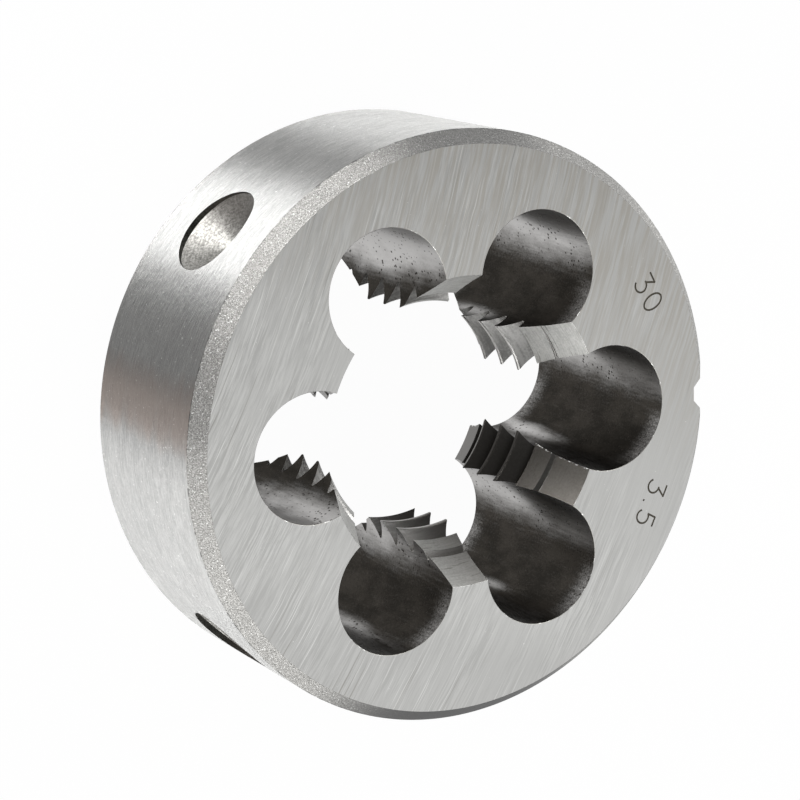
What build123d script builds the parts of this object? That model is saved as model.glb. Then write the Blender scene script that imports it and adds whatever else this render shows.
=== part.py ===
from build123d import *
import math
import os

os.makedirs("parts", exist_ok=True)

# Round threading die, in millimetres. The cutting axis is Z, the back face lies on z = 0 and the
# face where a bar enters is the upper one. The rim notch points along +X.

# Disc, with the same turned chamfer on both rims. It runs a little further down the rim than inward.
disc_radius = 32.5
disc_thickness = 25.0
chamfer_inward = 1.45
chamfer_down = 1.75

# Cutting thread, right-handed, M30 x 3.5. Its ridges reach to the bottom of the bolt's thread and its
# grooves clear the outside of the bolt. A groove crosses the line of the notch at groove_height.
thread_radius = 15.0
thread_pitch = 3.5
thread_depth = 2.05
flank_angle = 30.0
groove_clearance = 0.35
groove_floor_width = 0.28
groove_height = 3.47

# Lead cones at both mouths of the bore, where the thread fades out. A mouth is wider than the bolt
# by cone_overhang all round.
cone_overhang = 2.1
cone_depth = 8.7

# Chip holes, round and straight through. They break into the bore and leave the cutting lands.
chip_holes = 6
chip_hole_radius = 7.1
chip_circle_radius = 18.6

# Adjusting notch across the rim, a shallow trough in line with the first chip hole.
notch_floor_width = 1.55
notch_mouth_width = 6.7
notch_depth = 2.35

# Dimples for the points of the holder's screws: a short straight wall over a drilled cone.
dimple_angles = (45.0, 135.0, 225.0, 315.0)
dimple_radius = 5.25
dimple_wall = 0.7
dimple_half_angle = 60.0

# Radii of the ridges, of the grooves' floor and of the cones' mouths.
ridge_radius = thread_radius - thread_depth
groove_radius = thread_radius + groove_clearance
cone_mouth_radius = thread_radius + cone_overhang

# The groove's section widens towards the axis and ends a little inside the ridges.
groove_reach = 0.3
flank_slope = math.tan(math.radians(flank_angle))
groove_mouth_radius = ridge_radius - groove_reach
groove_mouth_width = groove_floor_width + 2 * (groove_radius - groove_mouth_radius) * flank_slope

# Depth at which a cone is as wide as the grooves' floor, so that the thread has faded out.
cone_slope = (cone_mouth_radius - ridge_radius) / cone_depth
fade_depth = (cone_mouth_radius - groove_radius) / cone_slope - groove_floor_width / 2

# One step of the groove passes one land. The steps meet in the open space of the chip holes.
step_angle = 360 / chip_holes
step_rise = thread_pitch / chip_holes
first_step = math.floor((fade_depth - groove_height) / step_rise)
last_step = math.ceil((disc_thickness - fade_depth - groove_height) / step_rise)

# Depth of a dimple's cone, and how far its cutter and the notch's run out past the rim.
dimple_cone = dimple_radius / math.tan(math.radians(dimple_half_angle))
overrun = 1.0

# Cutter for one step of the groove: a trapezoid swept up the helix, beginning on +X.
with BuildPart() as groove_cutter:
    with BuildLine() as groove_path:
        Helix(pitch=thread_pitch, height=step_rise, radius=ridge_radius)
    with BuildSketch(Plane.XZ) as groove_section:
        with BuildLine():
            Polyline(
                (groove_mouth_radius, -groove_mouth_width / 2),
                (groove_radius, -groove_floor_width / 2),
                (groove_radius, groove_floor_width / 2),
                (groove_mouth_radius, groove_mouth_width / 2),
                close=True,
            )
        make_face()
    sweep(sections=groove_section.sketch, path=groove_path.line, is_frenet=True)

# Cutter for one dimple, lying along +X with its point towards the axis.
with BuildPart() as dimple_cutter:
    with BuildSketch(Plane.XZ):
        with BuildLine():
            Polyline(
                (disc_radius - dimple_wall - dimple_cone, 0),
                (disc_radius - dimple_wall, dimple_radius),
                (disc_radius + overrun, dimple_radius),
                (disc_radius + overrun, 0),
                close=True,
            )
        make_face()
    revolve(axis=Axis.X)

with BuildPart() as threading_die:
    # Turned blank: chamfered rim outside, narrow bore with a cone at each mouth inside.
    with BuildSketch(Plane.XZ):
        with BuildLine():
            Polyline(
                (cone_mouth_radius, 0),
                (disc_radius - chamfer_inward, 0),
                (disc_radius, chamfer_down),
                (disc_radius, disc_thickness - chamfer_down),
                (disc_radius - chamfer_inward, disc_thickness),
                (cone_mouth_radius, disc_thickness),
                (ridge_radius, disc_thickness - cone_depth),
                (ridge_radius, cone_depth),
                close=True,
            )
        make_face()
    revolve(axis=Axis.Z)

    # Chip holes.
    with PolarLocations(chip_circle_radius, chip_holes):
        Cylinder(
            radius=chip_hole_radius,
            height=disc_thickness,
            align=(Align.CENTER, Align.CENTER, Align.MIN),
            mode=Mode.SUBTRACT,
        )

    # Thread groove, step by step up the bore.
    groove_places = [
        Location((0, 0, groove_height + step * step_rise), (0, 0, step * step_angle))
        for step in range(first_step, last_step)
    ]
    with Locations(*groove_places):
        add(groove_cutter.part, mode=Mode.SUBTRACT)

    # Adjusting notch along the whole rim.
    with BuildSketch(Plane.XY):
        with BuildLine():
            Polyline(
                (disc_radius - notch_depth, -notch_floor_width / 2),
                (disc_radius, -notch_mouth_width / 2),
                (disc_radius + overrun, -notch_mouth_width / 2),
                (disc_radius + overrun, notch_mouth_width / 2),
                (disc_radius, notch_mouth_width / 2),
                (disc_radius - notch_depth, notch_floor_width / 2),
                close=True,
            )
        make_face()
    extrude(amount=disc_thickness, mode=Mode.SUBTRACT)

    # Screw dimples round the middle of the rim.
    dimple_places = [
        Location((0, 0, disc_thickness / 2), (0, 0, angle)) for angle in dimple_angles
    ]
    with Locations(*dimple_places):
        add(dimple_cutter.part, mode=Mode.SUBTRACT)

threading_die.part.label = "threading_die"
export_step(threading_die.part, "parts/threading_die.step")
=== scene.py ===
import math

import bpy
import numpy as np
from mathutils import Matrix, Vector


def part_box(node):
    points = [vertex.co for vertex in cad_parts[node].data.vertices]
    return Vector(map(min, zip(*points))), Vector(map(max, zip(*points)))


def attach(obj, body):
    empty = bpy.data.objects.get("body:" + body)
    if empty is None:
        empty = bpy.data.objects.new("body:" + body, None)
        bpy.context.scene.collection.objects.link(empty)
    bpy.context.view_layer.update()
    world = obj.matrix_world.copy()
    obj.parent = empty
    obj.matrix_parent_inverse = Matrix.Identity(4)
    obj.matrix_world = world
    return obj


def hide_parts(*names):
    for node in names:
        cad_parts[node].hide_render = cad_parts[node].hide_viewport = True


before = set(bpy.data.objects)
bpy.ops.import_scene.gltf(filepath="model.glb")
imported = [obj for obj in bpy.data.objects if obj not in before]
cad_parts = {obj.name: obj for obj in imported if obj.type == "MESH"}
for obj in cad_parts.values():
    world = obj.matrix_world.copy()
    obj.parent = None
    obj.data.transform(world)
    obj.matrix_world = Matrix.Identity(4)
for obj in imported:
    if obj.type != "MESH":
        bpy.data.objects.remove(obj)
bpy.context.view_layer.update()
print("stage: frame loaded")

mm = 0.001
lowCorner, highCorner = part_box("threading_die")

# Sizes in millimetres. The diameter and the thickness come from the frame. An edge is the width of a small
# rounding.
die = {
    "radius": min(-lowCorner.x, highCorner.y, -lowCorner.y) / mm,
    "thickness": highCorner.z / mm,
    "chamferIn": 1.45,
    "chamferDown": 1.75,
    "mouthRadius": 17.1,
    "coneDepth": 8.7,
    "ridgeRadius": 12.95,
    "edge": 0.02,
    "segments": 720,
    "sharpDegrees": 4,
}
midHeight = die["thickness"] / 2

# The groove makes 31 sixths of a turn, as in the CAD. Its cutter reaches a little inside the ridges, and
# slopes off between a flank and a ridge.
thread = {
    "pitch": 3.5,
    "height": 3.47,
    "turns": 31 / 6,
    "floorRadius": 15.35,
    "floorWidth": 0.28,
    "floorEdge": 0.1,
    "flankAngle": 30.0,
    "crestEdge": 0.1,
    "crestSlope": 1.2,
    "reach": 0.6,
    "stepsPerTurn": 144,
}
chipHole = {"count": 6, "radius": 7.1, "circle": 18.6, "edge": 0.04, "segments": 144}

# A dimple's cone starts at a tiny tip and turns into its wall over a bevel.
dimple = {
    "angles": (45.0, 135.0, 225.0, 315.0),
    "radius": 5.25,
    "wall": 0.7,
    "halfAngle": 60.0,
    "tip": 0.02,
    "bevelIn": 0.12,
    "bevelDown": 0.07,
    "bevelUp": 0.03,
    "segments": 144,
}
notch = {"floorWidth": 1.55, "mouthWidth": 6.7, "depth": 2.35}

# How far the cutters of the notch and the dimples run out past the die.
overrun = 1.0
zones = [
    "face", "chamfer", "rim", "cone", "ridge", "groove",
    "hole", "holeEdge", "dimpleWall", "dimpleCone", "notch", "mark",
]


def roundedProfile(corners, steps=4):
    # A closed outline. Each corner is (radius, height, rounding, zone). A rounding replaces the corner
    # by a quadratic curve between the points that lie that far along its two sides. The zone names the
    # side that follows, and a rounding belongs to the side before it. Gives the points and each side's zone.
    points, sides = [], []
    spots = np.array([corner[:2] for corner in corners], float)
    for index, (_, _, rounding, zone) in enumerate(corners):
        here = spots[index]
        if rounding:
            before = spots[index - 1] - here
            after = spots[(index + 1) % len(spots)] - here
            start = here + before / np.linalg.norm(before) * rounding
            end = here + after / np.linalg.norm(after) * rounding
            along = np.linspace(0, 1, steps + 1)[:, None]
            points.extend((1 - along) ** 2 * start + 2 * along * (1 - along) * here + along ** 2 * end)
            sides.extend([corners[index - 1][3]] * steps + [zone])
        else:
            points.append(here)
            sides.append(zone)
    return np.array(points), sides


def gridQuads(rows, columns, closeRows, closeColumns):
    # The four-sided faces of a grid of points, and the column that each face starts at. Either direction
    # may close on itself.
    row, column = np.meshgrid(
        np.arange(rows if closeRows else rows - 1),
        np.arange(columns if closeColumns else columns - 1),
        indexing="ij",
    )
    nextRow = (row + 1) % rows
    nextColumn = (column + 1) % columns
    corners = [row * columns + column, row * columns + nextColumn,
               nextRow * columns + nextColumn, nextRow * columns + column]
    return np.stack(corners, axis=-1).reshape(-1, 4), column.ravel()


def faceOutward(made):
    # The signed volume, from each face's centre, normal and area, is negative on a mesh turned inside out.
    count = len(made.data.polygons)
    centres, normals, areas = np.empty(count * 3), np.empty(count * 3), np.empty(count)
    made.data.polygons.foreach_get("center", centres)
    made.data.polygons.foreach_get("normal", normals)
    made.data.polygons.foreach_get("area", areas)
    if (centres.reshape(-1, 3) * normals.reshape(-1, 3)).sum(axis=1) @ areas < 0:
        made.data.flip_normals()


def makeMesh(name, points, faces, faceZones, materials):
    # Points are in millimetres. The object stays at the origin, and its place is in its points.
    mesh = bpy.data.meshes.new(name)
    mesh.from_pydata((points.reshape(-1, 3) * mm).tolist(), [], faces)
    for zone in zones:
        mesh.materials.append(materials[zone])
    mesh.polygons.foreach_set("material_index", [zones.index(zone) for zone in faceZones])
    mesh.update()
    made = bpy.data.objects.new(name, mesh)
    bpy.context.scene.collection.objects.link(made)
    faceOutward(made)
    return made


def turnedGrid(points, segments):
    # An outline (r, h) turned about Z: (r cos a, r sin a, h).
    angle = np.linspace(0, 2 * np.pi, segments, endpoint=False)[:, None]
    radius, height = points[:, 0], points[:, 1]
    return np.stack([radius * np.cos(angle), radius * np.sin(angle), height + 0 * angle], axis=-1)


def revolveRing(name, points, sides, segments, materials):
    # A closed outline turned into a ring.
    quads, columns = gridQuads(segments, len(points), True, True)
    faceZones = [sides[column] for column in columns]
    return makeMesh(name, turnedGrid(points, segments), quads.tolist(), faceZones, materials)


def revolvePlug(name, points, sides, segments, placement, materials):
    # An open outline from one end of the axis to the other, turned and capped, then placed by a 4 by 4
    # matrix.
    grid = turnedGrid(points, segments).reshape(-1, 3)
    turned = np.array(placement.to_3x3()) @ grid.T + np.array(placement.translation)[:, None]
    count = len(points)
    quads, columns = gridQuads(segments, count, True, False)
    faces = quads.tolist()
    faces.append([segment * count for segment in range(segments)])
    faces.append([segment * count + count - 1 for segment in reversed(range(segments))])
    faceZones = [sides[column] for column in columns] + [sides[0], sides[-1]]
    return makeMesh(name, turned.T, faces, faceZones, materials)


def helixBar(name, points, sides, materials):
    # A closed section (r, z) carried up the helix: (r cos a, r sin a, z + height + pitch a / 2 pi).
    steps = round(thread["turns"] * thread["stepsPerTurn"]) + 1
    angle = np.linspace(0, thread["turns"] * 2 * np.pi, steps)[:, None]
    radius = points[:, 0]
    height = points[:, 1] + thread["height"] + thread["pitch"] * angle / (2 * np.pi)
    grid = np.stack([radius * np.cos(angle), radius * np.sin(angle), height], axis=-1)
    count = len(points)
    quads, columns = gridQuads(steps, count, False, True)
    faces = quads.tolist()
    faces.append(list(reversed(range(count))))
    faces.append([(steps - 1) * count + index for index in range(count)])
    faceZones = [sides[column] for column in columns] + [sides[0], sides[0]]
    return makeMesh(name, grid, faces, faceZones, materials)


def blankMesh(materials):
    # The turned blank: outside with two chamfers, inside a bore with a cone at each mouth.
    radius, thickness, edge = die["radius"], die["thickness"], die["edge"]
    faceRadius = radius - die["chamferIn"]
    corners = [
        (die["ridgeRadius"], die["coneDepth"], 0, "cone"),
        (die["mouthRadius"], 0, edge, "face"),
        (faceRadius, 0, edge, "chamfer"),
        (radius, die["chamferDown"], edge, "rim"),
        (radius, thickness - die["chamferDown"], edge, "chamfer"),
        (faceRadius, thickness, edge, "face"),
        (die["mouthRadius"], thickness, edge, "cone"),
        (die["ridgeRadius"], thickness - die["coneDepth"], 0, "ridge"),
    ]
    points, sides = roundedProfile(corners)
    return revolveRing("threadingDieBody", points, sides, die["segments"], materials)


def grooveMesh(materials):
    slope = math.tan(math.radians(thread["flankAngle"]))
    crest = die["ridgeRadius"]
    brink = crest + thread["crestEdge"]
    inside = crest - thread["reach"]
    floorHalf = thread["floorWidth"] / 2
    brinkHalf = floorHalf + (thread["floorRadius"] - brink) * slope
    crestHalf = brinkHalf + thread["crestEdge"] * thread["crestSlope"]
    corners = [
        (thread["floorRadius"], -floorHalf, thread["floorEdge"], "groove"),
        (thread["floorRadius"], floorHalf, thread["floorEdge"], "groove"),
        (brink, brinkHalf, 0, "groove"),
        (crest, crestHalf, 0, "groove"),
        (inside, crestHalf, 0, "groove"),
        (inside, -crestHalf, 0, "groove"),
        (crest, -crestHalf, 0, "groove"),
        (brink, -brinkHalf, 0, "groove"),
    ]
    points, sides = roundedProfile(corners, steps=3)
    return helixBar("grooveCutter", points, sides, materials)


def holeMeshes(materials):
    # Each cutter flares at both faces, which breaks the hole's edges.
    radius, edge, thickness = chipHole["radius"], chipHole["edge"], die["thickness"]
    points = np.array([
        (radius + 2 * edge, -edge),
        (radius, edge),
        (radius, thickness - edge),
        (radius + 2 * edge, thickness + edge),
    ])
    sides = ["holeEdge", "hole", "holeEdge"]
    made = []
    for index in range(chipHole["count"]):
        angle = 2 * math.pi * index / chipHole["count"]
        across = (chipHole["circle"] * math.cos(angle), chipHole["circle"] * math.sin(angle), 0)
        place = Matrix.Translation(across)
        made.append(revolvePlug(f"holeCutter{index}", points, sides, chipHole["segments"], place, materials))
    return made


def dimpleMeshes(materials):
    # The plug's axis is turned from Z to point out of the rim.
    bottom = die["radius"] - dimple["wall"]
    cone = dimple["radius"] / math.tan(math.radians(dimple["halfAngle"]))
    points = np.array([
        (dimple["tip"], bottom - cone),
        (dimple["radius"] - dimple["bevelIn"], bottom - dimple["bevelDown"]),
        (dimple["radius"], bottom + dimple["bevelUp"]),
        (dimple["radius"], die["radius"] + overrun),
    ])
    sides = ["dimpleCone", "dimpleCone", "dimpleWall"]
    made = []
    for index, angle in enumerate(dimple["angles"]):
        place = Matrix.Translation((0, 0, midHeight)) @ Matrix.Rotation(math.radians(angle), 4, "Z")
        place = place @ Matrix.Rotation(math.pi / 2, 4, "Y")
        made.append(revolvePlug(f"dimpleCutter{index}", points, sides, dimple["segments"], place, materials))
    return made


def notchMesh(materials):
    # A trapezoid (x, y) carried straight up Z.
    floor, mouth = die["radius"] - notch["depth"], die["radius"] + overrun
    spread = (notch["mouthWidth"] - notch["floorWidth"]) / 2 / notch["depth"]
    floorHalf = notch["floorWidth"] / 2
    mouthHalf = floorHalf + spread * (mouth - floor)
    outline = np.array([(floor, -floorHalf), (mouth, -mouthHalf), (mouth, mouthHalf), (floor, floorHalf)])
    heights = np.array([-overrun, die["thickness"] + overrun])[:, None, None]
    grid = np.concatenate([outline[None] + 0 * heights, heights + 0 * outline[None, :, :1]], axis=-1)
    quads, _ = gridQuads(2, 4, False, True)
    faces = quads.tolist() + [[3, 2, 1, 0], [4, 5, 6, 7]]
    return makeMesh("notchCutter", grid, faces, ["notch"] * len(faces), materials)


# Plain numbers on the face: thread diameter and pitch in millimetres, tops outward, read clockwise. Each has
# its radius and its angle in degrees. Their cutters stand above the face by the rise.
mark = {
    "height": 2.5,
    "stroke": 0.22,
    "depth": 0.05,
    "rise": 0.3,
    "gap": 0.95,
    "numbers": [("30", 26.9, 27.5), ("3.5", 26.9, -26.0)],
}


def arc(centre, size, start, end, steps=24):
    # Part of an ellipse, by angles in degrees.
    angle = np.radians(np.linspace(start, end, steps))
    return np.stack([centre[0] + size[0] * np.cos(angle), centre[1] + size[1] * np.sin(angle)], axis=-1)


# Each sign has a width and strokes on a line one unit high. A stroke that ends where it starts is a ring.
signs = {
    "0": (0.62, [arc((0.31, 0.5), (0.31, 0.5), 0, 360, steps=49)]),
    "3": (0.58, [
        np.array([(0.02, 1.0), (0.58, 1.0)]),
        np.array([(0.56, 1.02), (0.27, 0.57)]),
        arc((0.27, 0.3), (0.31, 0.3), 100, -150),
    ]),
    "5": (0.58, [
        np.array([(0.56, 1.0), (0.08, 1.0)]),
        np.array([(0.11, 1.02), (0.07, 0.54)]),
        arc((0.27, 0.32), (0.31, 0.32), 132, -150),
    ]),
    ".": (0.12, [np.array([(0.06, 0.0), (0.06, 0.09)])]),
}


def strokeMesh(name, line, centre, right, up, materials):
    # A rectangular section carried along a line on the face: the line plus half a stroke along its normals
    # to either side, from a little above the face to the floor of the mark.
    closed = np.allclose(line[0], line[-1])
    if closed:
        line = line[:-1]
        ahead = np.roll(line, -1, axis=0) - np.roll(line, 1, axis=0)
    else:
        ahead = np.gradient(line, axis=0)
    ahead /= np.linalg.norm(ahead, axis=1)[:, None]
    side = np.stack([-ahead[:, 1], ahead[:, 0]], axis=-1) * mark["stroke"] / 2
    flat = np.stack([line - side, line + side, line + side, line - side], axis=1)
    spots = centre + flat[..., :1] * right + flat[..., 1:] * up
    top, bottom = die["thickness"] + mark["rise"], die["thickness"] - mark["depth"]
    heights = np.broadcast_to(np.array([bottom, bottom, top, top])[None, :, None], spots.shape[:2] + (1,))
    grid = np.concatenate([spots, heights], axis=-1)
    quads, _ = gridQuads(len(line), 4, closed, True)
    faces = quads.tolist()
    if not closed:
        last = 4 * (len(line) - 1)
        faces += [[3, 2, 1, 0], [last, last + 1, last + 2, last + 3]]
    return makeMesh(name, grid, faces, ["mark"] * len(faces), materials)


def markMeshes(materials):
    made = []
    for number, radius, degrees in mark["numbers"]:
        angle = math.radians(degrees)
        up = np.array([math.cos(angle), math.sin(angle)])
        right = np.array([math.sin(angle), -math.cos(angle)])
        widths = [signs[sign][0] * mark["height"] for sign in number]
        start = -(sum(widths) + mark["gap"] * (len(number) - 1)) / 2
        for index, sign in enumerate(number):
            for stroke in signs[sign][1]:
                line = stroke * mark["height"] + np.array([start, -mark["height"] / 2])
                made.append(strokeMesh(f"mark{len(made)}", line, up * radius, right, up, materials))
            start += widths[index] + mark["gap"]
    return made


def cutAway(body, cutters):
    # Cuts the cutters out of the body, applies the cuts and deletes the cutters.
    for cutter in cutters:
        cut = body.modifiers.new("cut", "BOOLEAN")
        cut.operation = "DIFFERENCE"
        cut.solver = "MANIFOLD"
        cut.object = cutter
    graph = bpy.context.evaluated_depsgraph_get()
    finished = bpy.data.meshes.new_from_object(body.evaluated_get(graph), depsgraph=graph)
    body.modifiers.clear()
    body.data = finished
    for cutter in cutters:
        bpy.data.objects.remove(cutter)


class Wire:
    # A shader socket. Sums, products and powers written on it add Math nodes.
    def __init__(self, finish, socket):
        self.finish = finish
        self.socket = socket

    def __add__(self, other):
        return self.finish.reckon("ADD", self, other)

    def __sub__(self, other):
        return self.finish.reckon("SUBTRACT", self, other)

    def __rsub__(self, other):
        return self.finish.reckon("SUBTRACT", other, self)

    def __mul__(self, other):
        return self.finish.reckon("MULTIPLY", self, other)

    def __pow__(self, other):
        return self.finish.reckon("POWER", self, other)

    def __abs__(self):
        return self.finish.reckon("ABSOLUTE", self)

    __radd__ = __add__
    __rmul__ = __mul__


# How the looks are written. Colours are linear. A layer is a pair of a strength and a colour. A pair of
# numbers is where a swell begins and ends. A grain is its fineness across and along the die's axis, then its
# detail and roughness. The depth of a relief is in millimetres.

# The thin broken line where the rim meets a chamfer: its reach in millimetres, its grain and the gaps in it.
brinkLook = {"reach": (0.03, 0.13), "grain": (0.9, 0.9, 3.0, 0.7), "gaps": (0.45, 0.6)}


class Finish:
    # The nodes of one material.
    def __init__(self, name):
        self.material = bpy.data.materials.new(name)
        self.material.use_nodes = True
        self.tree = self.material.node_tree
        self.shader = self.tree.nodes["Principled BSDF"]

    def plug(self, socket, value):
        if isinstance(value, Wire):
            self.tree.links.new(value.socket, socket)
        elif socket.type == "RGBA":
            socket.default_value = (*value, 1)
        else:
            socket.default_value = value

    def node(self, kind, settings, sockets, output=0):
        # A node of any type: first its settings, then the values or links of its sockets.
        made = self.tree.nodes.new("ShaderNode" + kind)
        for key, value in settings.items():
            setattr(made, key, value)
        for key, value in sockets.items():
            self.plug(made.inputs[key], value)
        return Wire(self, made.outputs[output])

    def reckon(self, operation, *values):
        return self.node("Math", {"operation": operation}, dict(enumerate(values)))

    def spot(self):
        # Where on the piece: x, y and z in millimetres.
        place = self.node("TexCoord", {}, {}, "Object")
        parts = self.node("SeparateXYZ", {}, {0: place}).socket.node.outputs
        return [Wire(self, part) * (1 / mm) for part in parts]

    def facing(self, x, y, degrees):
        # The cosine of the angle between a direction and the line from the axis to (x, y).
        angle = math.radians(degrees)
        return (x * math.cos(angle) + y * math.sin(angle)) * (x * x + y * y) ** -0.5

    def fromHole(self, x, y):
        # The way from the nearest chip hole's axis, found from the angle round the die.
        sector = 2 * math.pi / chipHole["count"]
        nearest = self.reckon("ROUND", self.reckon("ARCTAN2", y, x) * (1 / sector)) * sector
        holeX = self.reckon("COSINE", nearest) * chipHole["circle"]
        holeY = self.reckon("SINE", nearest) * chipHole["circle"]
        return x - holeX, y - holeY

    def grain(self, x, y, z, detail=2.0, roughness=0.5):
        place = self.node("CombineXYZ", {}, {0: x, 1: y, 2: z})
        sockets = {"Vector": place, "Scale": 1.0, "Detail": detail, "Roughness": roughness}
        return self.node("TexNoise", {}, sockets)

    def speckle(self, spot, across, along, detail=2.0, roughness=0.5):
        # Grain with one fineness across the die's axis and one along it.
        x, y, z = spot
        return self.grain(x * across, y * across, z * along, detail, roughness)

    def pits(self, spot, scale):
        # Distance from the nearest of many scattered points.
        x, y, z = spot
        place = self.node("CombineXYZ", {}, {0: x * scale, 1: y * scale, 2: z * scale})
        return self.node("TexVoronoi", {}, {"Vector": place, "Scale": 1.0}, "Distance")

    def swell(self, value, low, high):
        # Goes smoothly from 0 to 1 as the value goes from low to high.
        sockets = {"Value": value, "From Min": low, "From Max": high}
        return self.node("MapRange", {"interpolation_type": "SMOOTHSTEP"}, sockets)

    def brink(self, spot):
        # A line that fades with the height above or below the rim's edges.
        height = abs(abs(spot[2] - midHeight) + die["chamferDown"] - midHeight)
        ragged = self.swell(self.speckle(spot, *brinkLook["grain"]), *brinkLook["gaps"])
        return (1 - self.swell(height, *brinkLook["reach"])) * ragged

    def tint(self, factor, first, second):
        return self.node("Mix", {"data_type": "RGBA"}, {0: factor, 6: first, 7: second}, 2)

    def cover(self, colour, where, layer):
        # Lays a layer over a colour. A layer is its strength and its own colour.
        strength, over = layer
        return self.tint(where * strength, colour, over)

    def relief(self, height, depth):
        # The depth is in millimetres, for a height from 0 to 1.
        return self.node("Bump", {}, {"Strength": 1.0, "Distance": depth * mm, "Height": height})

    def close(self, colour, roughness, normal=None, gloss=None):
        # Metal of this colour and roughness. The gloss gives values of further sockets by their names.
        self.plug(self.shader.inputs["Base Color"], colour)
        self.plug(self.shader.inputs["Roughness"], roughness)
        if normal:
            self.plug(self.shader.inputs["Normal"], normal)
        self.shader.inputs["Metallic"].default_value = 1.0
        for name, value in (gloss or {}).items():
            self.shader.inputs[name].default_value = value
        return self.material


# A streak is its fineness across and along the grinding arcs, then a seed, detail and roughness. Wobble and
# speck are a fineness and a seed. The centre and the reach of the arcs are in millimetres. A side is where a
# change across the face begins and ends.
faceLook = {
    "low": (0.48, 0.48, 0.467),
    "high": (0.625, 0.625, 0.61),
    "beige": (0.7, (0.45, 0.425, 0.38)),
    "faceShade": (0.4, (0.44, 0.44, 0.43)),
    "score": (0.5, (0.32, 0.31, 0.29)),
    "bright": (0.9, 0.9, 0.88),
    "roughness": 0.32,
    "relief": 0.007,
    "centre": (-161.0, 77.0),
    "reach": 185.0,
    "wobble": (0.12, 9.0),
    "speck": (2.4, 5.0),
    "streaks": {
        "fine": (4.5, 0.15, 3.0, 5.0, 0.75),
        "broad": (1.4, 0.08, 17.0, 3.0, 0.6),
        "beige": (2.6, 0.12, 57.0, 3.0, 0.6),
        "patches": (0.25, 0.06, 77.0, 2.0, 0.5),
        "scratch": (5.0, 0.06, 31.0, 1.0, 0.5),
        "score": (4.0, 0.05, 47.0, 1.0, 0.5),
    },
    "contrast": (0.38, 0.62),
    "patchSwell": (0.4, 0.6),
    "scratchSwell": (0.64, 0.72),
    "scoreSwell": (0.66, 0.74),
    "speckSwell": (0.72, 0.78),
    "beigeSide": (0.0, 30.0),
    "calmSide": (8.0, 28.0),
    "wornSide": (-12.0, -34.0),
    "faceShadeSide": (20.0, 26.0),
}


def faceSteel():
    # Grinding arcs about a point far to the left: streaks follow the angle round it and change quickly with
    # the distance. They are strongest towards -X and -Y, and faint towards the notch.
    finish = Finish("faceSteel")
    x, y, _ = finish.spot()
    dx, dy = x - faceLook["centre"][0], y - faceLook["centre"][1]
    scale, seed = faceLook["wobble"]
    away = (dx * dx + dy * dy) ** 0.5 + finish.grain(x * scale, y * scale, seed) * 0.6
    along = finish.reckon("ARCTAN2", dy, dx) * faceLook["reach"]

    def streak(name):
        across, lengthwise, *rest = faceLook["streaks"][name]
        return finish.grain(away * across, along * lengthwise, *rest)

    fine, broad = streak("fine"), streak("broad")
    beige = finish.swell(streak("beige"), *faceLook["contrast"])
    beige = beige * finish.swell(y + x * 0.5, *faceLook["beigeSide"])
    patches = finish.swell(streak("patches"), *faceLook["patchSwell"])
    calm = 1 - finish.swell(x, *faceLook["calmSide"]) * 0.6
    worn = calm * (patches * 0.9 + finish.swell(x + y * 0.6, *faceLook["wornSide"]) * 0.6 + 0.45)
    scratch = finish.swell(streak("scratch"), *faceLook["scratchSwell"])
    score = finish.swell(streak("score"), *faceLook["scoreSwell"])
    scale, seed = faceLook["speck"]
    specks = finish.swell(finish.grain(x * scale, y * scale, seed), *faceLook["speckSwell"])
    shade = (finish.swell(fine * 0.75 + broad * 0.25, *faceLook["contrast"]) - 0.5) * worn + 0.5
    colour = finish.tint(shade, faceLook["low"], faceLook["high"])
    colour = finish.cover(colour, beige, faceLook["beige"])
    # Painted shade: the face is darkened near its edge towards -Y.
    colour = finish.cover(colour, finish.swell(-1 * y - x * 0.35, *faceLook["faceShadeSide"]), faceLook["faceShade"])
    colour = finish.cover(colour, score * worn, faceLook["score"])
    colour = finish.tint(scratch * worn * 0.35 + specks * 0.5, colour, faceLook["bright"])
    height = fine * 0.7 + broad * 0.3 + scratch * 0.2 - score * 0.2
    return finish.close(colour, faceLook["roughness"], finish.relief(height, faceLook["relief"]))


# A band is a stripe of painted shade down the rim: its direction in degrees, where it begins and ends as a
# cosine, how much its edge wanders, and its layer. The first is a brown painted reflection and the second a
# painted dark shadow.
rimLook = {
    "low": (0.395, 0.395, 0.39),
    "high": (0.54, 0.54, 0.53),
    "bands": [
        {"degrees": 170.0, "edge": (0.995, 1.006), "wander": 0.012, "layer": (0.7, (0.42, 0.345, 0.305))},
        {"degrees": 155.5, "edge": (0.972, 0.994), "wander": 0.008, "layer": (0.45, (0.2, 0.195, 0.19))},
    ],
    "glint": (0.8, (0.95, 0.95, 0.93)),
    "brink": (0.7, (0.05, 0.05, 0.05)),
    "dashes": (0.6, 6.0, 3.0, 0.6),
    "broad": (0.12, 0.5, 2.0, 0.5),
    "grit": (3.5, 3.5, 2.0, 0.6),
    "contrast": (0.38, 0.62),
    "glintSwell": (0.68, 0.76),
    "roughness": 0.5,
    "relief": 0.12,
    "gloss": {"Anisotropic": 1.0, "Anisotropic Rotation": 0.25},
}


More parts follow.
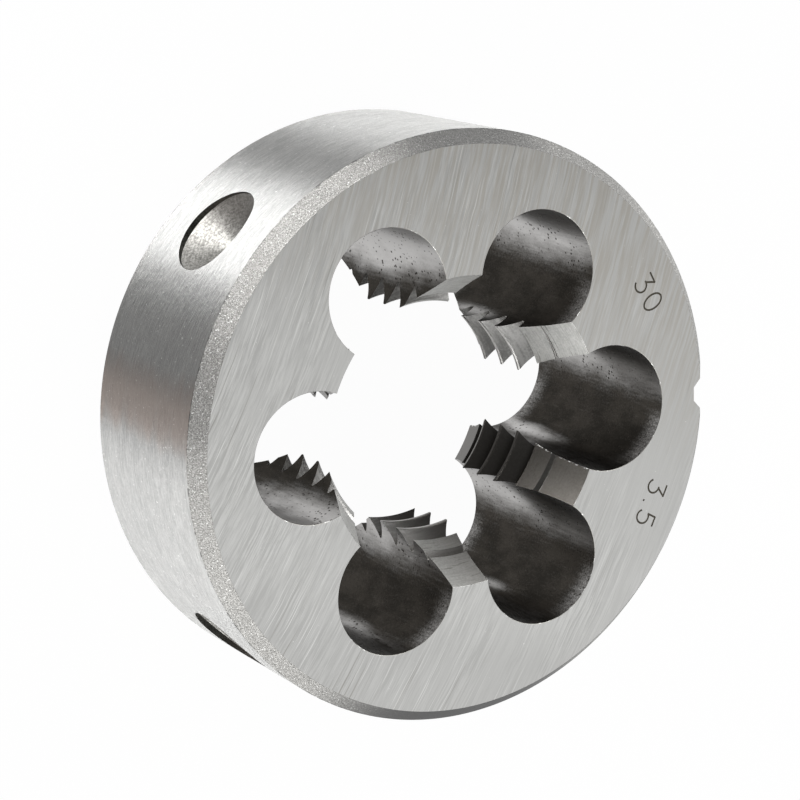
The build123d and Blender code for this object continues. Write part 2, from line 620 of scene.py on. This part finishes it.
def rimSteel():
    # Short grinding dashes round the rim, two bands of painted shade down it and small bright specks.
    finish = Finish("rimSteel")
    x, y, _ = spot = finish.spot()
    dashes = finish.speckle(spot, *rimLook["dashes"])
    broad = finish.speckle(spot, *rimLook["broad"])
    grit = finish.speckle(spot, *rimLook["grit"])
    shade = finish.swell(dashes * 0.6 + broad * 0.15 + grit * 0.25, *rimLook["contrast"])
    colour = finish.tint(shade, rimLook["low"], rimLook["high"])
    # Painted shade: a brown painted reflection and a dark painted shadow, each a band down the rim.
    for band in rimLook["bands"]:
        where = finish.swell(finish.facing(x, y, band["degrees"]) + broad * band["wander"], *band["edge"])
        colour = finish.cover(colour, where, band["layer"])
    colour = finish.cover(colour, finish.swell(grit, *rimLook["glintSwell"]), rimLook["glint"])
    colour = finish.cover(colour, finish.brink(spot), rimLook["brink"])
    normal = finish.relief(dashes, rimLook["relief"])
    return finish.close(colour, rimLook["roughness"], normal, rimLook["gloss"])


# A shaded side is a direction in degrees, where it begins and ends as a cosine, and how dark its painted
# shade gets.
chamferLook = {
    "low": (0.16, 0.157, 0.15),
    "high": (0.40, 0.395, 0.38),
    "dark": (0.05, 0.05, 0.05),
    "glint": (0.55, (0.95, 0.95, 0.93)),
    "brink": (0.7, (0.05, 0.05, 0.05)),
    "shadedSides": [(76.0, (0.75, 0.98), 0.4), (88.0, (0.93, 0.997), 0.35), (165.0, (0.97, 0.998), 0.25)],
    "smoothShadedSide": (268.0, (0.8, 0.99), 0.95),
    "grit": (7.0, 7.0, 3.0, 0.75),
    "glintGrain": (5.0, 5.0, 1.0, 0.6),
    "contrast": (0.36, 0.64),
    "glintSwell": (0.62, 0.70),
    "roughness": 0.5,
    "relief": 0.05,
}


def chamferSteel():
    # A coarse blasted grain with bright glints, with painted shade in four directions, the last of which is
    # also smooth.
    finish = Finish("chamferSteel")
    x, y, _ = spot = finish.spot()
    grit = finish.speckle(spot, *chamferLook["grit"])
    glint = finish.swell(finish.speckle(spot, *chamferLook["glintGrain"]), *chamferLook["glintSwell"])
    # Painted shade: the chamfer is darkened in four directions, and in the last it is also made smooth.
    degrees, edge, smoothShade = chamferLook["smoothShadedSide"]
    smoothAndShaded = finish.swell(finish.facing(x, y, degrees), *edge)
    first, second, third = [
        finish.swell(finish.facing(x, y, degrees), *edge) * dark
        for degrees, edge, dark in chamferLook["shadedSides"]
    ]
    shade = finish.swell(grit, *chamferLook["contrast"])
    colour = finish.tint(shade, chamferLook["low"], chamferLook["high"])
    colour = finish.cover(colour, glint, chamferLook["glint"])
    colour = finish.tint(first + second + third + smoothAndShaded * smoothShade, colour, chamferLook["dark"])
    colour = finish.cover(colour, finish.brink(spot), chamferLook["brink"])
    normal = finish.relief((grit + glint * 0.5) * (1 - smoothAndShaded), chamferLook["relief"])
    return finish.close(colour, chamferLook["roughness"], normal)


# Painted shade lies on the side of each hole that the shade angle points to. A lighter speckled strip runs
# under the faces, from one height above the middle of the die to another. Patches of painted light: place and
# reach across in millimetres, and how far they go towards bright steel. They are drawn out along the hole by
# the stretch.
holeLook = {
    "black": (0.025, 0.023, 0.02),
    "dark": (0.05, 0.045, 0.039),
    "light": (0.62, 0.61, 0.60),
    "pit": (0.04, 0.036, 0.032),
    "roughness": 0.28,
    "relief": 0.012,
    "gloss": {"Specular Tint": (0.5, 0.5, 0.5, 1.0)},
    "clouds": (0.4, 0.25, 4.0, 0.6),
    "drawn": (3.0, 0.3, 2.0, 0.5),
    "grit": (5.0, 5.0, 2.0, 0.6),
    "shadeAngle": 318.0,
    "shadeEdge": (0.2, 0.95),
    "shadeDepth": (0.07, 0.38),
    "lighterStripHeight": (9.0, 12.4),
    "lighterStripSide": (0.8, 0.97),
    "pitScale": 1.8,
    "pitEdge": (0.08, 0.17),
    "corrosion": (0.25, 0.25, 2.0, 0.5),
    "corrosionEdge": (0.45, 0.62),
    "stretch": 0.2,
    "patches": [
        ((20.6, -6.75, 4.5), 1.7, 0.95),
        ((11.3, 9.35, 7.5), 1.5, 0.7),
        ((11.75, -22.8, 11.0), 1.0, 0.5),
        ((-8.5, -23.2, 14.0), 1.6, 0.55),
        ((-16.9, -7.0, 22.0), 3.3, 0.9),
        ((-2.3, -16.0, 10.0), 2.6, 0.35),
        ((-2.3, 17.3, 12.0), 3.0, 0.4),
        ((16.4, 16.7, 15.0), 2.6, 0.17),
    ],
}


def holeSteel():
    # Drilled wall, bright but for painted shade along the same side of each hole, with patches of painted
    # light in the shade, cloudy edges, a lighter speckled strip under the faces and small black pits.
    finish = Finish("holeSteel")
    x, y, z = spot = finish.spot()
    # Painted shade: every hole is darkened on the same side, the one the shade angle points to.
    facing = finish.facing(*finish.fromHole(x, y), holeLook["shadeAngle"])
    clouds = finish.speckle(spot, *holeLook["clouds"])
    drawn = finish.speckle(spot, *holeLook["drawn"])
    grit = finish.speckle(spot, *holeLook["grit"])
    shade = 1 - finish.swell(facing + clouds * 0.3 - 0.15, *holeLook["shadeEdge"])
    place = finish.node("CombineXYZ", {}, {0: x, 1: y, 2: z * holeLook["stretch"]})
    # Painted light: brighter patches laid into the painted shade.
    for centre, reach, amount in holeLook["patches"]:
        middle = (centre[0], centre[1], centre[2] * holeLook["stretch"])
        distance = finish.node("VectorMath", {"operation": "DISTANCE"}, {0: place, 1: middle}, "Value")
        paintedLight = 1 - finish.swell(distance + clouds * reach * 0.6, reach * 0.1, reach * 1.5)
        shade = shade + paintedLight * amount
    # A lighter speckled strip near the faces, on the shaded side.
    lighterStrip = finish.swell(abs(z - midHeight), *holeLook["lighterStripHeight"])
    lighterStrip = lighterStrip * finish.swell(facing, *holeLook["lighterStripSide"])
    shade = shade + lighterStrip * (grit * 0.5 + 0.1) + (grit + drawn - 1) * 0.25
    depth = finish.swell(clouds * 0.65 + grit * 0.35 - facing * 0.3, *holeLook["shadeDepth"])
    dark = finish.tint(depth, holeLook["black"], holeLook["dark"])
    colour = finish.tint(finish.swell(shade, 0.0, 1.0), dark, holeLook["light"])
    corroded = finish.swell(finish.speckle(spot, *holeLook["corrosion"]), *holeLook["corrosionEdge"]) * 0.12
    pit = 1 - finish.swell(finish.pits(spot, holeLook["pitScale"]) - corroded, *holeLook["pitEdge"])
    colour = finish.tint(pit, colour, holeLook["pit"])
    normal = finish.relief(grit * 0.5 + drawn * 0.5 - pit, holeLook["relief"])
    return finish.close(colour, holeLook["roughness"], normal, holeLook["gloss"])


edgeLook = {
    "low": (0.2, 0.195, 0.18),
    "high": (0.9, 0.9, 0.88),
    "burrGlint": (1.2, 1.2, 2.0, 0.5),
    "burrGlintSwell": (0.58, 0.68),
    "roughness": 0.35,
}


def edgeSteel():
    # Broken edge of a hole, with burrs here and there painted bright as glints.
    finish = Finish("edgeSteel")
    # Painted highlight: burrs laid in near-white.
    burrGlint = finish.swell(finish.speckle(finish.spot(), *edgeLook["burrGlint"]), *edgeLook["burrGlintSwell"])
    return finish.close(finish.tint(burrGlint, edgeLook["low"], edgeLook["high"]), edgeLook["roughness"])


# Shared by the turned surfaces. The mouth heights, counted from the middle of the die, are where the painted
# shade gets fainter, and the root edge is half the width over which the groove floors turn darker. Both are
# in millimetres.
turnedLook = {
    "lines": (0.35, 5.0, 3.0, 0.6),
    "clouds": (0.7, 0.7, 3.0, 0.5),
    "grit": (4.0, 4.0, 2.0, 0.5),
    "contrast": (0.41, 0.59),
    "lineSwell": (0.58, 0.66),
    "line": (0.6, (0.12, 0.115, 0.105)),
    "shadeEdge": (0.35, 1.0),
    "mouthHeights": (6.5, 8.5),
    "rootEdge": 0.3,
    "root": (0.5, (0.06, 0.054, 0.046)),
    "burrGrain": (2.2, 2.2, 2.0, 0.5),
    "burrReach": (0.05, 0.16),
    "burrGlintSwell": (0.48, 0.6),
    "burrGlintSide": (0.7, 0.9),
    "burrGlint": (0.95, 0.95, 0.93),
    "relief": 0.006,
}
turnedSurfaces = {
    "coneSteel": {
        "low": (0.44, 0.44, 0.425), "high": (0.58, 0.58, 0.56), "roughness": 0.48,
        "paintedShade": (-38.0, 0.95, (0.08, 0.073, 0.065)), "burrGlintDegrees": 245.0,
    },
    "ridgeSteel": {
        "low": (0.3, 0.29, 0.28), "high": (0.5, 0.49, 0.47), "roughness": 0.35,
        "paintedShade": (-30.0, 1.0, (0.03, 0.027, 0.024)),
    },
    "grooveSteel": {
        "low": (0.33, 0.325, 0.315), "high": (0.5, 0.495, 0.48), "roughness": 0.34,
        "paintedShade": (-50.0, 1.0, (0.085, 0.08, 0.073)), "rootRadius": 14.9,
    },
    "notchSteel": {"low": (0.36, 0.35, 0.33), "high": (0.6, 0.59, 0.56), "roughness": 0.4},
}


def turnedSteel(name, low, high, roughness, paintedShade=None, burrGlintDegrees=None, rootRadius=None):
    # Fine turning lines round the axis of the die, with a few smudges. Painted shade on one side of the die
    # is a direction, a strength and a colour. Burrs along the chip holes are painted bright as glints, on the
    # side in one direction from each hole. The groove floors are darker beyond the root radius, and the
    # painted shade is then weaker near the mouths.
    finish = Finish(name)
    x, y, z = spot = finish.spot()
    lines = finish.speckle(spot, *turnedLook["lines"])
    clouds = finish.speckle(spot, *turnedLook["clouds"])
    grit = finish.speckle(spot, *turnedLook["grit"])
    shade = finish.swell(lines * 0.5 + clouds * 0.2 + grit * 0.3, *turnedLook["contrast"])
    colour = finish.tint(shade, low, high)
    if not rootRadius:
        colour = finish.cover(colour, finish.swell(lines, *turnedLook["lineSwell"]), turnedLook["line"])
    # Painted shade: darker on one side of the die.
    if paintedShade:
        degrees, strength, dark = paintedShade
        covered = finish.swell(finish.facing(x, y, degrees) + clouds * 0.1, *turnedLook["shadeEdge"])
        if rootRadius:
            covered = covered * (1 - finish.swell(abs(z - midHeight), *turnedLook["mouthHeights"]) * 0.5)
        colour = finish.tint(covered * (grit * 0.15 + 0.92) * strength, colour, dark)
    if rootRadius:
        away = (x * x + y * y) ** 0.5 + clouds * 0.3
        root = finish.swell(away, rootRadius - turnedLook["rootEdge"], rootRadius + turnedLook["rootEdge"])
        colour = finish.cover(colour, root, turnedLook["root"])
    # Painted glints: bright burrs along the chip holes, on one side only.
    if burrGlintDegrees:
        acrossX, acrossY = finish.fromHole(x, y)
        outside = (acrossX * acrossX + acrossY * acrossY) ** 0.5 - chipHole["radius"]
        burrGlint = 1 - finish.swell(outside, *turnedLook["burrReach"])
        burrGlint = burrGlint * finish.swell(finish.speckle(spot, *turnedLook["burrGrain"]), *turnedLook["burrGlintSwell"])
        burrGlint = burrGlint * finish.swell(finish.facing(acrossX, acrossY, burrGlintDegrees), *turnedLook["burrGlintSide"])
        colour = finish.tint(burrGlint, colour, turnedLook["burrGlint"])
    return finish.close(colour, roughness, finish.relief(lines * 0.5 + grit * 0.5, turnedLook["relief"]))


# Rings and chatter have their fineness outward from the dimple's axis and round it, then a seed, detail and
# roughness.
dimpleLook = {
    "rings": (6.0, 3.0, 2.0, 3.0, 0.6),
    "chatter": (1.5, 16.0, 7.0, 2.0, 0.5),
    "grit": (4.0, 4.0, 2.0, 0.6),
    "shadow": (0.65, (0.08, 0.07, 0.063)),
    "shadowSide": (0.3, 3.5),
    "diagonal": 0.7071,
    "contrast": (0.38, 0.62),
    "relief": 0.03,
}
dimpleSurfaces = {
    # The dimple walls are painted near black: painted shade.
    "dimpleWallShadedSteel": {"low": (0.03, 0.03, 0.027), "high": (0.09, 0.09, 0.08), "roughness": 0.5},
    "dimpleConeSteel": {"low": (0.17, 0.166, 0.155), "high": (0.42, 0.412, 0.39), "roughness": 0.48},
}


def dimpleSteel(name, low, high, roughness):
    # Rings round the axis of a dimple, crossed by chatter, with a shadow on one side. The four dimples are
    # alike, so the signs of x and y are dropped, and the distance is taken from the diagonal.
    finish = Finish(name)
    x, y, z = spot = finish.spot()
    width, depth = abs(x), abs(y)
    side = (width - depth) * dimpleLook["diagonal"]
    up = z - midHeight
    away = (side * side + up * up) ** 0.5
    bearing = finish.reckon("ARCTAN2", up, side)
    outward, around, *rest = dimpleLook["rings"]
    rings = finish.grain(away * outward, bearing * around, *rest)
    outward, around, *rest = dimpleLook["chatter"]
    chatter = finish.grain(away * outward, bearing * around, *rest)
    grit = finish.speckle(spot, *dimpleLook["grit"])
    texture = rings * 0.4 + chatter * 0.15 + grit * 0.45
    colour = finish.tint(finish.swell(texture, *dimpleLook["contrast"]), low, high)
    colour = finish.cover(colour, finish.swell(0 - side, *dimpleLook["shadowSide"]), dimpleLook["shadow"])
    return finish.close(colour, roughness, finish.relief(texture, dimpleLook["relief"]))


markLook = {"low": (0.09, 0.08, 0.063), "high": (0.19, 0.175, 0.145), "scale": 3.0, "roughness": 0.6}


def markInk():
    # Burnt floor of the numbers.
    finish = Finish("markInk")
    x, y, z = finish.spot()
    burnt = finish.grain(x * markLook["scale"], y * markLook["scale"], z)
    return finish.close(finish.tint(burnt, markLook["low"], markLook["high"]), markLook["roughness"])


turned = {name: turnedSteel(name, **look) for name, look in turnedSurfaces.items()}
dimpled = {name: dimpleSteel(name, **look) for name, look in dimpleSurfaces.items()}
materials = {
    "face": faceSteel(),
    "chamfer": chamferSteel(),
    "rim": rimSteel(),
    "cone": turned["coneSteel"],
    "ridge": turned["ridgeSteel"],
    "groove": turned["grooveSteel"],
    "hole": holeSteel(),
    "holeEdge": edgeSteel(),
    "dimpleWall": dimpled["dimpleWallShadedSteel"],
    "dimpleCone": dimpled["dimpleConeSteel"],
    "notch": turned["notchSteel"],
    "mark": markInk(),
}
print("stage: finishes made")

body = blankMesh(materials)
cutters = [*holeMeshes(materials), grooveMesh(materials), notchMesh(materials), *dimpleMeshes(materials)]
cutAway(body, cutters + markMeshes(materials))
for polygon in body.data.polygons:
    polygon.use_smooth = True
body.data.set_sharp_from_angle(angle=math.radians(die["sharpDegrees"]))
print("stage: die body,", len(body.data.polygons), "faces")
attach(body, "root")
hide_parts("threading_die")


# Half the floor's width is in metres.
floorLook = {"half": 1.0, "colour": (0.9, 0.9, 0.9), "roughness": 0.9, "glow": 0.97}


def floorFinish():
    # Pale and dull. Part of it glows white for the camera and for reflections, and the rest keeps the shadow.
    finish = Finish("paleFloor")
    path = finish.node("LightPath", {}, {}, "Is Camera Ray")
    outputs = path.socket.node.outputs
    seen = path + Wire(finish, outputs["Is Glossy Ray"]) + Wire(finish, outputs["Is Transmission Ray"])
    part = finish.reckon("MINIMUM", seen * floorLook["glow"], floorLook["glow"])
    glow = finish.node("Emission", {}, {"Color": (1, 1, 1), "Strength": 1.0})
    finish.plug(finish.shader.inputs["Base Color"], floorLook["colour"])
    finish.plug(finish.shader.inputs["Roughness"], floorLook["roughness"])
    mixed = finish.node("MixShader", {}, {0: part, 1: Wire(finish, finish.shader.outputs[0]), 2: glow})
    finish.plug(finish.tree.nodes["Material Output"].inputs["Surface"], mixed)
    return finish.material


half = floorLook["half"]
floorMesh = bpy.data.meshes.new("paleFloor")
floorCorners = [(-half, -half, 0), (half, -half, 0), (half, half, 0), (-half, half, 0)]
floorMesh.from_pydata(floorCorners, [], [(0, 1, 2, 3)])
floorMesh.materials.append(floorFinish())
floor = bpy.data.objects.new("paleFloor", floorMesh)
bpy.context.scene.collection.objects.link(floor)

studioLook = {"colour": (1, 1, 1, 1), "strength": 0.22}
world = bpy.data.worlds.new("studio")
world.use_nodes = True
world.node_tree.nodes["Background"].inputs["Color"].default_value = studioLook["colour"]
world.node_tree.nodes["Background"].inputs["Strength"].default_value = studioLook["strength"]
bpy.context.scene.world = world

# The photograph's camera, solved from the rim, the holes and the thread. Its place, lens and sensor are in
# millimetres, and the near end of its sight in metres.
view = {
    "lens": 113.2803,
    "sensor": 36,
    "place": (-137.4356, 66.4689, 247.7139),
    "right": (0.861846, -0.024414, 0.506582),
    "up": (0.138565, 0.972173, -0.188888),
    "back": (-0.487874, 0.232987, 0.841247),
    "near": 0.01,
}
cameraData = bpy.data.cameras.new("photoCamera")
cameraData.lens = view["lens"]
cameraData.sensor_width = view["sensor"]
cameraData.clip_start = view["near"]
camera = bpy.data.objects.new("photoCamera", cameraData)
bpy.context.scene.collection.objects.link(camera)
turn = Matrix((view["right"], view["up"], view["back"])).transposed()
camera.matrix_world = Matrix.Translation([value * mm for value in view["place"]]) @ turn.to_4x4()
bpy.context.scene.camera = camera

bpy.context.scene.view_settings.view_transform = "Standard"

# Soft boxes round the die. Azimuth, elevation and roll are in degrees, lengths in metres, and glow is how
# bright a box looks, where 1 is white.
softBoxes = {
    "overhead": {
        "azimuth": -48, "elevation": 53, "roll": 45,
        "distance": 0.8, "width": 0.62, "height": 0.62, "glow": 0.665,
    },
    "rear": {
        "azimuth": 124, "elevation": 8, "roll": 0,
        "distance": 0.7, "width": 0.46, "height": 0.24, "glow": 11.9,
    },
    "frontLeft": {
        "azimuth": 215, "elevation": 17, "roll": 0,
        "distance": 0.7, "width": 0.64, "height": 0.38, "glow": 3.5,
    },
    "front": {
        "azimuth": 266, "elevation": 17, "roll": 0,
        "distance": 0.7, "width": 0.66, "height": 0.38, "glow": 2.8,
    },
    "right": {
        "azimuth": 43, "elevation": 16, "roll": 0,
        "distance": 0.7, "width": 1.05, "height": 0.36, "glow": 3.7,
    },
}


def softBox(name, box):
    # The lamp looks at the origin. Its power is 4 times its area times its glow.
    data = bpy.data.lights.new(name, "AREA")
    data.shape = "RECTANGLE"
    data.size, data.size_y = box["width"], box["height"]
    data.energy = 4 * box["width"] * box["height"] * box["glow"]
    azimuth, elevation = math.radians(box["azimuth"]), math.radians(box["elevation"])
    flat = math.cos(elevation)
    away = Vector((math.cos(azimuth) * flat, math.sin(azimuth) * flat, math.sin(elevation)))
    roll = Matrix.Rotation(math.radians(box["roll"]), 4, "Z")
    turn = away.to_track_quat("Z", "Y").to_matrix().to_4x4() @ roll
    lamp = bpy.data.objects.new(name, data)
    bpy.context.scene.collection.objects.link(lamp)
    lamp.visible_camera = False
    lamp.matrix_world = Matrix.Translation(away * box["distance"]) @ turn


for name, box in softBoxes.items():
    softBox(name, box)
print("stage: lamps and camera set")
